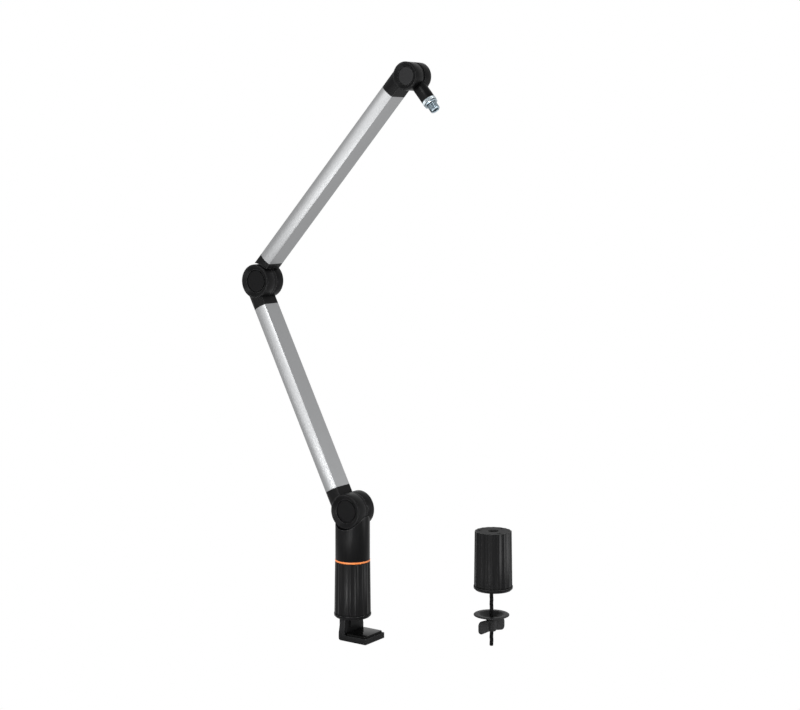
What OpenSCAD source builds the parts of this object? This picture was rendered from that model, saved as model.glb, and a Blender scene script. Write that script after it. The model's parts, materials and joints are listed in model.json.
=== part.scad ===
// Two-segment desktop microphone arm on a desk clamp, with the through-desk base of the same set.
// The origin is the centre of the clamp base's underside, on the desk top. X points over the desk,
// Y runs along the pivot barrels towards the back, and Z is up. All sizes are in millimetres.

/* [Arms] */
// Distance between the shoulder and elbow pivots
lower_arm_l = 399; // [300:1:600]
// Distance between the elbow and head pivots
upper_arm_l = 442; // [300:1:600]
// Lean of the lower arm back from upright, as stored
lower_lean = 27.4; // [10:0.1:38]
// Lean of the upper arm forward from upright, as stored
upper_lean = 42.3; // [10:0.1:70]
// Dip of the microphone spigot below level, as stored
head_dip = 50.5; // [20:0.5:80]
// Width of a tube's flat faces, along the pivots
tube_w = 34; // [26:0.5:34]
// Thickness of a tube across its flat faces
tube_t = 23.6; // [18:0.2:23.6]
// Bulge of a tube's curved sides
tube_bulge = 3.5; // [2:0.25:3.5]
// Wall of a tube
tube_wall = 2; // [1.5:0.25:3]
// Distance of the lower tube's inner flat from the pivots
lower_offset = 0.3; // [0.3:0.1:2]
// How far the upper tube's inner flat lies past the pivots
upper_offset = 1.5; // [0.5:0.1:1.9]

/* [Tube connectors] */
// Length of the shoulder connector, from pivot to tube
shoulder_reach = 41; // [36:1:60]
// Length of the elbow connector on the lower arm
elbow_lower_reach = 41; // [36:1:60]
// Length of the elbow connector on the upper arm
elbow_upper_reach = 40; // [36:1:60]
// Length of the head connector, from pivot to tube
head_reach = 41; // [30:1:60]
// Length of a connector's plug inside its tube
plug_l = 30; // [20:1:50]
// Gap between the upper elbow connector and the elbow barrel
connector_relief = 2; // [1:0.25:3]
// Radius of a tube screw
tube_screw_r = 1.5; // [1.25:0.25:2]

/* [Pivot barrels] */
// Radius of the shoulder and elbow barrels
barrel_r = 27.6; // [26:0.1:27.6]
// Radius of the head barrel
head_barrel_r = 22.2; // [22.2:0.1:24]
// Length of every barrel
barrel_l = 42; // [42:1:50]
// Depth of the dish in a barrel's end
dish_depth = 3.5; // [1:0.25:3.5]
// Bevel of a barrel's outer edge
rim_bevel = 1.2; // [0.5:0.1:1.5]
// Flat land between the bevel and the dish
rim_land = 1.2; // [0.4:0.1:1.5]
// Radius of the shoulder and elbow cap discs
cap_r = 18.8; // [16:0.2:19]
// Radius of the head cap discs
head_cap_r = 14.5; // [13:0.1:15]
// Thickness of a cap disc
cap_t = 2.3; // [1.5:0.1:2.5]
// Thickness of the lug between a barrel's halves
lug_t = 5; // [4:0.25:7]
// Radius of a pivot bolt's shank
bolt_r = 4; // [3:0.5:5]
// Radius of a pivot bolt's head
bolt_head_r = 6.5; // [5.5:0.25:8]
// Height of a pivot bolt's head
bolt_head_h = 8; // [4:0.5:8]
// Thickness of a pivot nut
nut_t = 6.3; // [4:0.1:6.5]
// Width of a pivot nut across its flats
nut_af = 13; // [12:0.5:14]
// Thickness of a pivot's spring washer
spring_washer_t = 1.5; // [1:0.1:1.6]
// Radius of a friction washer
friction_r = 13; // [10:0.5:14]
// Thickness of a friction washer
friction_t = 0.9; // [0.6:0.1:1.5]

/* [Microphone spigot] */
// Radius of the spigot
spigot_r = 11; // [9:0.25:12]
// Distance from the head pivot to the spigot's end
spigot_reach = 47.7; // [40:0.1:70]
// Radius of the stud inside the adapter, a 3/8 inch thread
stud_r = 4.76; // [4:0.01:5]
// Radius of the adapter's outer thread, a 5/8 inch thread
thread_r = 7.94; // [7.5:0.01:9]
// Length of the adapter's outer thread
thread_l = 12; // [8:0.5:20]
// Width of the slot across the adapter's end
adapter_slot_w = 3; // [2:0.25:4]
// Depth of the slot across the adapter's end
adapter_slot_d = 5.5; // [3:0.5:5.5]
// Turn of that slot about the spigot
adapter_slot_turn = -52; // [-90:1:90]
// Radius of the adapter's flange
adapter_flange_r = 10.8; // [9:0.1:12]
// Thickness of the adapter's flange
adapter_flange_t = 2.5; // [1:0.25:3]
// Radius of the knurled lock ring
lock_ring_r = 11.3; // [10:0.1:13]
// Thickness of the knurled lock ring
lock_ring_t = 5; // [2:0.2:6]

/* [Post] */
// Height of the shoulder pivot over the desk
pivot_h = 167.5; // [165:0.5:260]
// Radius of the post
post_r = 27.4; // [27.2:0.1:30]
// How far below the pivot the post's saddle ends
horn_drop = 8; // [8:0.5:15]
// Thickness of the swivel ring
swivel_ring_t = 2.8; // [1.5:0.1:5]
// Radius of the steel spigot that the arm swivels on
arm_spigot_r = 8; // [6:0.5:9]
// Length of that spigot below the swivel ring
arm_spigot_drop = 30; // [20:1:30]
// Length of that spigot inside the post
arm_spigot_rise = 33; // [20:1:40]
// Radius of the set screw that holds the spigot
set_screw_r = 2.5; // [2:0.25:3]

/* [Bases] */
// Radius of the fluted sleeve at its top
sleeve_top_r = 27.8; // [27.6:0.1:30]
// Radius of the fluted sleeve at its foot
sleeve_foot_r = 28.8; // [28:0.1:31]
// Radius of the foot flange
flange_r = 29.4; // [29.2:0.1:34]
// Height of the foot flange's top over the desk
flange_h = 5.4; // [4:0.2:8]
// Rounding of the flange's lower edge
flange_round = 2.2; // [1:0.1:2.5]
// Height of the fluted sleeve's top over the desk
base_h = 87.2; // [80:0.1:120]
// Number of flutes
flute_count = 18; // [8:1:24]
// Depth of a flute
flute_depth = 0.9; // [0.3:0.05:1]
// Radius of a flute's hollow
flute_r = 9; // [6:0.5:10]
// Turn of the flutes about the base's axis
flute_turn = 9; // [0:1:45]
// Radius of the base's core
core_r = 24.6; // [24.2:0.1:24.6]
// Radius of the top plate
plate_r = 25.2; // [24.9:0.1:25.4]
// Thickness of the top plate
plate_t = 3; // [2:0.25:4]
// Radius of the hole in the top plate
plate_hole_r = 8.3; // [8.1:0.1:10]
// Radius of the circle of the plate's screws
plate_screw_circle_r = 20.5; // [16:0.5:21]
// Turn of the plate's screws about the base's axis
plate_screw_turn = 86; // [0:1:119]
// Outer radius of the swivel bush
bush_r = 11; // [10:0.25:12]
// Inner radius of the rubber ring on the desk
desk_ring_in_r = 25.1; // [25:0.1:25.5]
// Outer radius of the rubber ring on the desk
desk_ring_out_r = 27; // [26:0.1:27.1]
// Gap between the flange and the desk, filled by the rubber ring
desk_ring_drop = 1; // [0.5:0.1:1.5]

/* [Desk clamp] */
// Gap between the base and the jaw pad, as stored
jaw_gap = 21.8; // [14:0.2:40]
// Thickness of the clamp bracket's leg
bar_t = 12; // [8:0.5:12]
// Thickness of the clamp bracket's foot
foot_t = 9; // [6:0.5:12]
// Half the width of the clamp bracket's foot
foot_half_w = 25.4; // [20:0.2:30]
// Distance of the bracket's outer face behind the base's axis
bar_back = 9; // [9:0.2:10.2]
// How far below the base the leg starts to widen to the foot
flare_drop = 10.7; // [10.7:0.1:16]
// Radius of the rounded heel where the leg meets the foot
heel_r = 4; // [1:0.5:6]
// Length of the bracket's foot
foot_l = 52.5; // [40:0.5:80]
// Thickness of the jaw pad
pad_t = 3; // [2:0.5:6]
// How far the jaw pad is set in from the foot's edges
pad_inset = 1.8; // [1:0.2:5]
// Height of the bracket's top over the desk, as stored
leg_top = 62; // [50:1:62]
// Height where the leg forks round the bush, as stored
leg_fork = 38; // [25:1:38]
// Half the gap between the leg's two prongs
prong_gap_half = 14.5; // [14:0.25:16]
// Half the width of the leg's guide rib
rib_half_w = 12; // [8:0.5:12]
// Thickness of the leg's guide rib
rib_t = 2.5; // [1.5:0.25:3]
// How far the guide rib reaches below the base
rib_drop = 14; // [4:0.5:16]

/* [Through-desk base] */
// Where the second base stands, along X
second_x = 257.8; // [200:0.1:400]
// Where the second base stands, along Y
second_y = 4; // [-100:1:100]
// Height of the second base's underside
second_z = 79; // [0:1:100]
// Radius of the threaded rod, which stands on the centre line of the clamp's leg
rod_r = 3; // [2.5:0.25:3.5]
// Length of the rod below the base
rod_drop = 84.5; // [80:0.1:120]
// Length of the rod inside the base
rod_rise = 28; // [15:1:40]
// Gap between the base and the dished washer, as stored
washer_gap = 37.4; // [10:0.1:40]
// Radius of the dished washer
washer_r = 26.8; // [20:0.1:32]
// Depth of the dished washer
washer_depth = 7.5; // [4:0.25:10]
// Sheet thickness of the dished washer
washer_t = 1.6; // [1:0.1:2.5]
// Radius where the washer's flat rim ends
washer_rim_r = 18.5; // [14:0.1:19]
// Radius of the washer's flat bottom
washer_bottom_r = 9; // [7:0.1:10]
// Half the span of the wing nut
wing_span_half = 25.5; // [18:0.5:30]
// Height of the wing nut's wings
wing_h = 20; // [10:0.5:20]
// Thickness of the wing nut's wings
wing_t = 4; // [2.5:0.25:5]
// Radius of the wing nut's hub
wing_hub_r = 7; // [6:0.25:9]
// Height of the wing nut's hub
wing_hub_h = 17; // [10:0.5:20]
// Turn of the wing nut about the rod, as stored
wing_turn = 74; // [0:1:179]

/* [Hidden] */
$fn = 64;
HULL_FN = 32;

// Gaps between pieces
run_gap = 0.05;
fit_gap = 0.15;
seat_gap = 0.3;
cut = 1;

// Places of the elbow and head pivots
elbow = [-lower_arm_l * sin(lower_lean), 0, pivot_h + lower_arm_l * cos(lower_lean)];
head = elbow + upper_arm_l * [sin(upper_lean), 0, cos(upper_lean)];

// Places along a barrel, measured from its middle
barrel_half = barrel_l / 2;
dish_y = barrel_half - dish_depth;
cap_in_y = dish_y - cap_t;
cap_proud = 0.3;
slot_half = lug_t / 2 + seat_gap;
washer_pocket_y = lug_t / 2 + friction_t + 0.1;
nut_end_y = cap_in_y - seat_gap;
seat_y = nut_end_y - nut_t - spring_washer_t - 2 * run_gap;
lug_inset = 0.15;
head_lug_inset = 0.8;
socket_r = 3.4;
socket_d = 4;

// Heights in the bases and the post
swivel_ring_z = base_h + seat_gap;
post_z = swivel_ring_z + swivel_ring_t;
plate_z = base_h - plate_t;
core_top = plate_z - run_gap;
bush_z = base_h - arm_spigot_drop - cut;
sleeve_z = flange_h + seat_gap;
sleeve_bore_r = core_r + seat_gap;
core_roof = 10.2;
leg_slot_top = plate_z - core_roof;
rib_slot_rise = 13;
rib_slot_top = leg_fork + rib_slot_rise;
leg_clear = 0.3;
saddle_r = barrel_r + 0.4;
post_roof = 11.2;
post_hollow_h = pivot_h - saddle_r - post_roof - post_z;
foot_z = -jaw_gap - pad_t - foot_t;
leg_r = core_r - 0.1;
flare_r = 29;
rod_x = bar_t / 2 - bar_back;
hub_r = bush_r + 2;
screw_r = 2;
screw_head_r = 3.6;
screw_head_h = 2.2;
screw_l = 14;
base_screw_spots = [[-16, 9], [-16, -9], [13, 14], [13, -14]];
rod_nut_af = 10;
rod_nut_t = 5;

// Places of the tube screws from each tube's end, and depth of their heads
tube_screw_in = 15;
tube_screw_l = 9;
tube_screw_head_r = 2.8;
tube_screw_head_h = 1.5;

// Places along the microphone spigot, from the head pivot
lock_ring_at = spigot_reach + seat_gap;
adapter_at = lock_ring_at + lock_ring_t + 1;
stud_in = 14;
stud_out = 13;

module lower_frame() {
    translate([0, 0, pivot_h]) rotate([0, -lower_lean, 0]) children();
}

module upper_frame() {
    translate(elbow) rotate([0, upper_lean, 0]) children();
}

// The elbow's barrel turns with the lower arm, and the head's barrel with the upper arm
module elbow_frame() {
    lower_frame() translate([0, 0, lower_arm_l]) children();
}

module head_end_frame() {
    upper_frame() translate([0, 0, upper_arm_l]) children();
}

// The far end of an arm of length l, looking back along it
module arm_end(l) {
    translate([0, 0, l]) mirror([0, 0, 1]) children();
}

module head_frame() {
    translate(head) rotate([0, 90 + head_dip, 0]) children();
}

module second_place() {
    translate([second_x, second_y, second_z]) children();
}

module rod_place() {
    translate([second_x + rod_x, second_y, second_z]) children();
}

// A cylinder along Y from y1 to y2
module y_cylinder(r, y1, y2) {
    rotate([-90, 0, 0]) translate([0, 0, y1]) cylinder(r = r, h = y2 - y1);
}

// A hexagonal prism along Y from y1 to y2, af wide across its flats
module y_hexagon(af, y1, y2) {
    rotate([-90, 0, 0]) translate([0, 0, y1]) cylinder(r = af / 2 / cos(30), h = y2 - y1, $fn = 6);
}

module ring(r_out, r_in, h) {
    difference() {
        cylinder(r = r_out, h = h);
        translate([0, 0, -cut]) cylinder(r = r_in, h = h + 2 * cut);
    }
}

// A tube's cross-section, offset to one side of the pivots and shrunk by inset
module bar_section(offset_x, inset = 0) {
    t = tube_t - 2 * inset;
    half = tube_w / 2 - inset + tube_bulge;
    r = (t * t / 4 + tube_bulge * tube_bulge) / (2 * tube_bulge);
    translate([-offset_x - tube_t / 2, 0]) difference() {
        square([t, 2 * half], center = true);
        for (side = [-1, 1]) difference() {
            translate([0, side * (half - tube_bulge / 2)])
                square([t + 2 * cut, tube_bulge + 2 * cut], center = true);
            translate([0, side * (half - r)]) circle(r = r);
        }
    }
}

// A barrel's solid form, with a bevelled rim and a dished end
module barrel_form(r, disc_r) {
    rotate([90, 0, 0]) rotate_extrude() polygon([
        [0, -dish_y], [disc_r + seat_gap, -dish_y],
        [r - rim_bevel - rim_land, -barrel_half], [r - rim_bevel, -barrel_half],
        [r, -barrel_half + rim_bevel], [r, barrel_half - rim_bevel],
        [r - rim_bevel, barrel_half], [r - rim_bevel - rim_land, barrel_half],
        [disc_r + seat_gap, dish_y], [0, dish_y]
    ]);
}

// What a pivot bolt, its nut, washers and caps need cut from a barrel
module pivot_cuts(disc_r) {
    y_cylinder(bolt_r + run_gap, -barrel_half, barrel_half);
    y_cylinder(bolt_head_r + seat_gap, -barrel_half, -seat_y);
    y_hexagon(nut_af + 2 * fit_gap, seat_y, barrel_half);
    y_cylinder(disc_r + fit_gap, -barrel_half - cut, -cap_in_y);
    y_cylinder(disc_r + fit_gap, cap_in_y, barrel_half + cut);
    y_cylinder(friction_r + seat_gap, -washer_pocket_y, washer_pocket_y);
}

// The screw seen from a tube's outer flat, with its tip towards the pivots' plane
module tube_screw(offset_x, z, grow = 0) {
    translate([-offset_x - tube_t, 0, z]) rotate([0, 90, 0]) {
        cylinder(r = tube_screw_r + grow, h = tube_screw_l + grow);
        cylinder(r1 = tube_screw_head_r + grow, r2 = tube_screw_r + grow, h = tube_screw_head_h);
    }
}

module connector_plug(offset_x, reach) {
    translate([0, 0, reach - cut]) linear_extrude(height = plug_l + cut)
        bar_section(offset_x, tube_wall + fit_gap);
}

// A connector whose two ears are the barrel, with a slot for the other side's lug
module fork_connector(r, disc_r, offset_x, reach) {
    difference() {
        union() {
            difference() {
                barrel_form(r, disc_r);
                y_cylinder(r + cut, -slot_half, slot_half);
            }
            difference() {
                linear_extrude(height = reach) bar_section(offset_x);
                y_cylinder(r - cut, -barrel_l, barrel_l);
                y_cylinder(r + seat_gap, -slot_half, slot_half);
            }
            connector_plug(offset_x, reach);
        }
        pivot_cuts(disc_r);
        tube_screw(offset_x, reach + tube_screw_in, run_gap);
    }
}

// A flat lug about a pivot, with a neck along +Z between x1 and x2
module lug(r, x1, x2, neck, inset = lug_inset) {
    y_cylinder(r - inset, -lug_t / 2, lug_t / 2);
    translate([x1, -lug_t / 2, 0]) cube([x2 - x1, lug_t, neck]);
}

module lug_bore() {
    y_cylinder(bolt_r + run_gap, -barrel_l, barrel_l);
}

// The steel and trim of one pivot, the same at all three
module pivot_bolt() {
    color("dimgray") difference() {
        union() {
            y_cylinder(bolt_head_r, -seat_y - bolt_head_h, -seat_y);
            y_cylinder(bolt_r, -seat_y, nut_end_y - run_gap);
        }
        y_hexagon(2 * socket_r * cos(30), -seat_y - bolt_head_h - cut, -seat_y - bolt_head_h + socket_d);
    }
}

module pivot_nut() {
    color("silver") difference() {
        y_hexagon(nut_af, nut_end_y - nut_t, nut_end_y);
        y_cylinder(bolt_r + run_gap, 0, barrel_half);
    }
}

module pivot_spring_washer() {
    color("silver") difference() {
        y_cylinder(nut_af / 2 - fit_gap, seat_y + run_gap, seat_y + run_gap + spring_washer_t);
        y_cylinder(bolt_r + fit_gap, 0, barrel_half);
    }
}

module pivot_friction_washers() {
    color("sienna") for (side = [-1, 1]) difference() {
        translate([0, side * (lug_t / 2 + run_gap + friction_t / 2), 0])
            y_cylinder(friction_r, -friction_t / 2, friction_t / 2);
        y_cylinder(bolt_r + fit_gap, -barrel_half, barrel_half);
    }
}

// A cap disc at the front for side -1, at the back for side 1
module pivot_cap(disc_r, side) {
    color([0.16, 0.16, 0.17]) rotate([-90 * side, 0, 0]) translate([0, 0, cap_in_y + run_gap])
        rotate_extrude() polygon([
            [0, 0], [disc_r, 0], [disc_r, cap_t], [disc_r - cap_proud, cap_t + cap_proud - run_gap],
            [0, cap_t + cap_proud - run_gap]
        ]);
}

// A screw with a countersunk head, its flat end at the origin and its tip along -Z
module flat_screw(l) {
    difference() {
        union() {
            translate([0, 0, -screw_head_h])
                cylinder(r1 = screw_r, r2 = screw_head_r, h = screw_head_h);
            translate([0, 0, -l]) cylinder(r = screw_r, h = l - screw_head_h);
        }
        translate([0, 0, -cut]) cylinder(r = 1.5, h = 2 * cut, $fn = 6);
    }
}

// The hole that such a screw needs, open above
module flat_screw_hole(l) {
    translate([0, 0, -screw_head_h]) cylinder(r1 = screw_r + run_gap, r2 = screw_head_r + run_gap, h = screw_head_h);
    translate([0, 0, -run_gap]) cylinder(r = screw_head_r + run_gap, h = cut);
    translate([0, 0, -l - run_gap]) cylinder(r = screw_r + run_gap, h = l);
}

// Places for the screws of the top plate, and of the flange below
module at_plate_screws() {
    for (i = [0 : 2]) rotate([0, 0, plate_screw_turn + 120 * i])
        translate([plate_screw_circle_r, 0, base_h - seat_gap]) children();
}

module at_base_screws() {
    for (spot = base_screw_spots)
        translate([spot[0], spot[1], desk_ring_drop + seat_gap]) mirror([0, 0, 1]) children();
}

// The fluted sleeve that both bases share
module fluted_sleeve() {
    h = base_h - sleeve_z;
    draft = atan((sleeve_foot_r - sleeve_top_r) / h);
    difference() {
        translate([0, 0, sleeve_z]) cylinder(r1 = sleeve_foot_r, r2 = sleeve_top_r, h = h);
        for (i = [0 : flute_count - 1]) rotate([0, 0, flute_turn + i * 360 / flute_count])
            translate([sleeve_foot_r + flute_r - flute_depth, 0, sleeve_z]) rotate([0, -draft, 0])
                translate([0, 0, -2 * cut]) cylinder(r = flute_r, h = h + 4 * cut);
        translate([0, 0, sleeve_z - cut]) cylinder(r = sleeve_bore_r, h = h + 2 * cut);
        translate([0, 0, plate_z - seat_gap]) cylinder(r = plate_r + seat_gap, h = plate_t + cut);
    }
}

// The flange's solid form, with a rounded lower edge and a groove for the rubber ring
module flange_form() {
    steps = 6;
    difference() {
        rotate_extrude() polygon(concat(
            [[0, flange_h], [0, desk_ring_drop]],
            [for (i = [0 : steps]) let(a = 90 * i / steps) [
                flange_r - flange_round * (1 - sin(a)),
                desk_ring_drop + flange_round * (1 - cos(a))
            ]],
            [[flange_r, flange_h]]
        ));
        ring(desk_ring_out_r + run_gap, desk_ring_in_r - run_gap, desk_ring_drop + 1);
        at_base_screws() flat_screw_hole(screw_l);
    }
}

module rubber_ring() {
    ring(desk_ring_out_r, desk_ring_in_r, desk_ring_drop + 1 - run_gap);
}

// The top plate that both bases share
module plate_form() {
    difference() {
        translate([0, 0, plate_z]) ring(plate_r, plate_hole_r, plate_t);
        at_plate_screws() flat_screw_hole(screw_l);
    }
}

// The core's solid form, bored for the bush and for all screws
module core_form() {
    difference() {
        translate([0, 0, flange_h + run_gap]) cylinder(r = core_r, h = core_top - flange_h - run_gap);
        translate([0, 0, bush_z]) cylinder(r = bush_r + run_gap, h = base_h);
        at_plate_screws() flat_screw_hole(screw_l);
        at_base_screws() flat_screw_hole(screw_l);
    }
}

module bush_form() {
    translate([0, 0, bush_z + run_gap]) difference() {
        cylinder(r = bush_r, h = core_top - bush_z - 2 * run_gap);
        translate([0, 0, -cut]) cylinder(r = arm_spigot_r + run_gap, h = base_h);
    }
}

// The space that the bracket's leg needs, between two heights
module leg_slot(z1, z2) {
    intersection() {
        translate([-bar_back - leg_clear, -core_r - cut, z1])
            cube([bar_t + 2 * leg_clear, 2 * (core_r + cut), z2 - z1]);
        translate([0, 0, z1]) cylinder(r = core_r + seat_gap, h = z2 - z1);
    }
}

module rib_slot(z1, z2) {
    translate([bar_t - bar_back - cut, -rib_half_w - leg_clear, z1])
        cube([rib_t + cut + leg_clear, 2 * (rib_half_w + leg_clear), z2 - z1]);
}

// Clamp base
module base_core() {
    color([0.10, 0.10, 0.11]) union() {
        difference() {
            core_form();
            leg_slot(0, leg_slot_top);
            rib_slot(0, rib_slot_top);
        }
        translate([0, 0, bush_z - 2]) difference() {
            cylinder(r = hub_r, h = leg_slot_top - bush_z + 2 + cut);
            translate([0, 0, 2]) cylinder(r = bush_r + run_gap, h = base_h);
        }
    }
}

module base_flange() {
    color([0.09, 0.09, 0.10]) difference() {
        flange_form();
        leg_slot(-cut, flange_h + cut);
        rib_slot(-cut, flange_h + cut);
    }
}

module desk_ring() {
    color([0.05, 0.05, 0.05]) rubber_ring();
}

module base_screws() {
    color("silver") at_base_screws() flat_screw(screw_l - seat_gap);
}

module top_plate() {
    color([0.12, 0.12, 0.13]) plate_form();
}

module plate_screws() {
    color("dimgray") at_plate_screws() flat_screw(screw_l - seat_gap);
}

module swivel_bush() {
    color("ivory") bush_form();
}

module clamp_sleeve() {
    color([0.09, 0.09, 0.10]) fluted_sleeve();
}

// Clamp jaw: a leg that fits the round core, widens below it to the foot's width, and forks above
module clamp_leg() {
    intersection() {
        difference() {
            translate([-bar_back, -foot_half_w, foot_z]) cube([bar_t, 2 * foot_half_w, leg_top - foot_z]);
            translate([-bar_back - cut, -prong_gap_half, leg_fork])
                cube([bar_t + 2 * cut, 2 * prong_gap_half, leg_top]);
        }
        union() {
            translate([0, 0, -flare_drop]) cylinder(r = leg_r, h = leg_top + flare_drop);
            translate([0, 0, foot_z]) cylinder(r1 = flare_r, r2 = leg_r, h = -flare_drop - foot_z);
        }
    }
}

// What the rounded heel takes off the bracket's lower back edge
module heel_cut() {
    translate([-bar_back, 0, foot_z]) difference() {
        translate([-cut, -foot_half_w - cut, -cut]) cube([heel_r + cut, 2 * (foot_half_w + cut), heel_r + cut]);
        translate([heel_r, 0, heel_r]) y_cylinder(heel_r, -foot_half_w - 2 * cut, foot_half_w + 2 * cut);
    }
}

module clamp_bracket() {
    color([0.08, 0.08, 0.09]) difference() {
        union() {
            clamp_leg();
            translate([-bar_back, -foot_half_w, foot_z]) cube([foot_l, 2 * foot_half_w, foot_t]);
            translate([bar_t - bar_back - cut, -rib_half_w, -rib_drop])
                cube([rib_t + cut, 2 * rib_half_w, leg_fork + rib_drop]);
        }
        heel_cut();
    }
}

module pad_outline(inset) {
    r = 4;
    x1 = bar_t - bar_back + 2 * seat_gap + inset;
    x2 = foot_l - bar_back - pad_inset - inset;
    half = foot_half_w - pad_inset - inset;
    for (x = [x1 + r, x2 - r], y = [-half + r, half - r]) translate([x, y]) circle(r = r, $fn = HULL_FN);
}

module jaw_pad() {
    edge = 1.2;
    color([0.15, 0.15, 0.15]) translate([0, 0, foot_z + foot_t + run_gap]) hull() {
        linear_extrude(height = pad_t - run_gap - edge) pad_outline(0);
        linear_extrude(height = pad_t - run_gap) pad_outline(edge);
    }
}

// Post
module post_housing() {
    hub = arm_spigot_r + 6;
    wall = 3.6;
    color([0.11, 0.11, 0.12]) difference() {
        union() {
            difference() {
                translate([0, 0, post_z]) cylinder(r = post_r, h = pivot_h - horn_drop - post_z);
                translate([0, 0, pivot_h]) y_cylinder(saddle_r, -2 * post_r, 2 * post_r);
                translate([0, 0, post_z - cut]) ring(post_r - wall, hub, post_hollow_h + cut);
            }
            translate([0, 0, pivot_h]) mirror([0, 0, 1])
                lug(barrel_r, -post_r / 2, post_r / 2, barrel_r + 4);
        }
        translate([0, 0, pivot_h]) lug_bore();
        translate([0, 0, post_z - cut]) cylinder(r = arm_spigot_r + run_gap, h = arm_spigot_rise + cut + seat_gap);
        spigot_screw_way(set_screw_r + run_gap);
    }
}

// The set screw's way through the post, towards the back left
module spigot_screw_way(r) {
    translate([0, 0, post_z + arm_spigot_rise / 2]) rotate([0, 90, 135]) cylinder(r = r, h = 2 * post_r);
}

module arm_spigot() {
    flat = 1;
    bevel = 1.5;
    color("silver") difference() {
        union() {
            translate([0, 0, base_h - arm_spigot_drop + bevel])
                cylinder(r = arm_spigot_r, h = arm_spigot_drop - bevel + swivel_ring_t + seat_gap + arm_spigot_rise);
            translate([0, 0, base_h - arm_spigot_drop])
                cylinder(r1 = arm_spigot_r - bevel, r2 = arm_spigot_r, h = bevel);
        }
        translate([0, 0, post_z + arm_spigot_rise / 2 - 4]) rotate([0, 0, 135])
            translate([arm_spigot_r - flat, -arm_spigot_r, 0]) cube([2 * flat, 2 * arm_spigot_r, 8]);
    }
}

module spigot_screw() {
    start = arm_spigot_r - 0.9;
    color("dimgray") translate([0, 0, post_z + arm_spigot_rise / 2]) rotate([0, 90, 135])
        translate([0, 0, start]) difference() {
            cylinder(r = set_screw_r, h = 7);
            translate([0, 0, 5]) cylinder(r = 1.4, h = 3, $fn = 6);
        }
}

module swivel_ring() {
    color([0.93, 0.36, 0.10]) translate([0, 0, swivel_ring_z])
        ring(post_r + 0.4, arm_spigot_r + run_gap, swivel_ring_t - run_gap);
}

// Lower arm
module shoulder_connector() {
    color([0.11, 0.11, 0.12]) lower_frame() fork_connector(barrel_r, cap_r, lower_offset, shoulder_reach);
}

module elbow_lower_connector() {
    color([0.11, 0.11, 0.12]) lower_frame() arm_end(lower_arm_l)
        fork_connector(barrel_r, cap_r, lower_offset, elbow_lower_reach);
}

// A tube between two distances along its arm, with its screw holes
module arm_tube(offset_x, z1, z2) {
    color([0.72, 0.73, 0.74]) difference() {
        translate([0, 0, z1 + run_gap]) linear_extrude(height = z2 - z1 - 2 * run_gap) bar_section(offset_x);
        translate([0, 0, z1 - cut]) linear_extrude(height = z2 - z1 + 2 * cut)
            bar_section(offset_x, tube_wall);
        tube_screw(offset_x, z1 + tube_screw_in, run_gap);
        tube_screw(offset_x, z2 - tube_screw_in, run_gap);
    }
}

module lower_tube() {
    lower_frame() arm_tube(lower_offset, shoulder_reach, lower_arm_l - elbow_lower_reach);
}

module lower_tube_screws() {
    color("dimgray") lower_frame() {
        tube_screw(lower_offset, shoulder_reach + tube_screw_in);
        tube_screw(lower_offset, lower_arm_l - elbow_lower_reach - tube_screw_in);
    }
}

module shoulder_bolt() lower_frame() pivot_bolt();
module shoulder_nut() lower_frame() pivot_nut();
module shoulder_spring_washer() lower_frame() pivot_spring_washer();
module shoulder_friction_washers() lower_frame() pivot_friction_washers();
module shoulder_front_cap() lower_frame() pivot_cap(cap_r, -1);
module shoulder_back_cap() lower_frame() pivot_cap(cap_r, 1);
module elbow_bolt() elbow_frame() pivot_bolt();
module elbow_nut() elbow_frame() pivot_nut();
module elbow_spring_washer() elbow_frame() pivot_spring_washer();
module elbow_friction_washers() elbow_frame() pivot_friction_washers();
module elbow_front_cap() elbow_frame() pivot_cap(cap_r, -1);
module elbow_back_cap() elbow_frame() pivot_cap(cap_r, 1);

// Upper arm
module elbow_upper_connector() {
    offset_x = -upper_offset;
    inset = 1;
    color([0.11, 0.11, 0.12]) upper_frame() difference() {
        union() {
            difference() {
                linear_extrude(height = elbow_upper_reach) bar_section(offset_x);
                y_cylinder(barrel_r + connector_relief, -barrel_l, barrel_l);
            }
            lug(barrel_r, -offset_x - tube_t + inset, -offset_x - inset, barrel_r + connector_relief + inset);
            connector_plug(offset_x, elbow_upper_reach);
        }
        lug_bore();
        tube_screw(offset_x, elbow_upper_reach + tube_screw_in, run_gap);
    }
}

module head_connector() {
    color([0.11, 0.11, 0.12]) upper_frame() arm_end(upper_arm_l)
        fork_connector(head_barrel_r, head_cap_r, -upper_offset, head_reach);
}

module upper_tube() {
    upper_frame() arm_tube(-upper_offset, elbow_upper_reach, upper_arm_l - head_reach);
}

module upper_tube_screws() {
    color("dimgray") upper_frame() {
        tube_screw(-upper_offset, elbow_upper_reach + tube_screw_in);
        tube_screw(-upper_offset, upper_arm_l - head_reach - tube_screw_in);
    }
}

module head_bolt() head_end_frame() pivot_bolt();
module head_nut() head_end_frame() pivot_nut();
module head_spring_washer() head_end_frame() pivot_spring_washer();
module head_friction_washers() head_end_frame() pivot_friction_washers();
module head_front_cap() head_end_frame() pivot_cap(head_cap_r, -1);
module head_back_cap() head_end_frame() pivot_cap(head_cap_r, 1);

// Microphone head
module mic_spigot() {
    neck_half = spigot_r - 1.5;
    root_r = head_barrel_r + 0.5;
    color([0.10, 0.10, 0.11]) head_frame() difference() {
        union() {
            difference() {
                cylinder(r = spigot_r, h = spigot_reach);
                y_cylinder(root_r, -barrel_l, barrel_l);
            }
            lug(head_barrel_r, -neck_half, neck_half, root_r + 1, head_lug_inset);
        }
        lug_bore();
        translate([0, 0, spigot_reach - stud_in]) cylinder(r = stud_r + run_gap, h = stud_in + cut);
    }
}

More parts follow.
